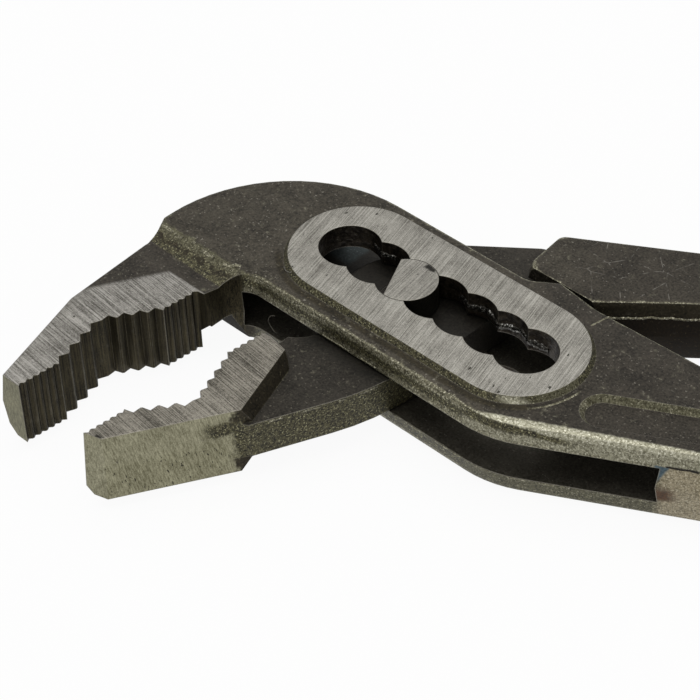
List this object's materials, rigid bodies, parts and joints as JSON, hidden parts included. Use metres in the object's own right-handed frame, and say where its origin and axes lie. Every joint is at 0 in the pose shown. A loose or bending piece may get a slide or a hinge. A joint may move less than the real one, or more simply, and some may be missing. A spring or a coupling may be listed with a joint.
{
  "type": "water pump pliers",
  "caption": "Forged water pump pliers: a slotted box arm and a tongue arm turn on a flatted pin, with offset toothed jaws and sleeved handles.",
  "frame": {"origin": "on the pivot pin's axis, in the plane of the rear boss and the pin's rear end", "axes": "+X along the handles away from the head, +Y towards the tongue arm's handle, +Z along the pin from the rear boss to the front boss"},
  "size_m": [0.2498, 0.0701, 0.016],
  "materials": {
    "forged_steel": "dark forged scale, ground bright on the bosses and jaws",
    "pin_steel": "ground flush",
    "grip_vinyl": "dipped, satin"
  },
  "bodies": {
    "box_arm": {"box_arm": "forged_steel", "box_arm_grip": "grip_vinyl"},
    "tongue_arm": {"tongue_arm": "forged_steel", "pivot_pin": "pin_steel", "tongue_arm_grip": "grip_vinyl"}
  },
  "joints": [
    {"name": "pivot", "type": "hinge", "parent": "box_arm", "child": "tongue_arm", "pos_m": [0, 0, 0.008], "axis": [0, 0, 1], "range_deg": [-1, 55]}
  ]
}
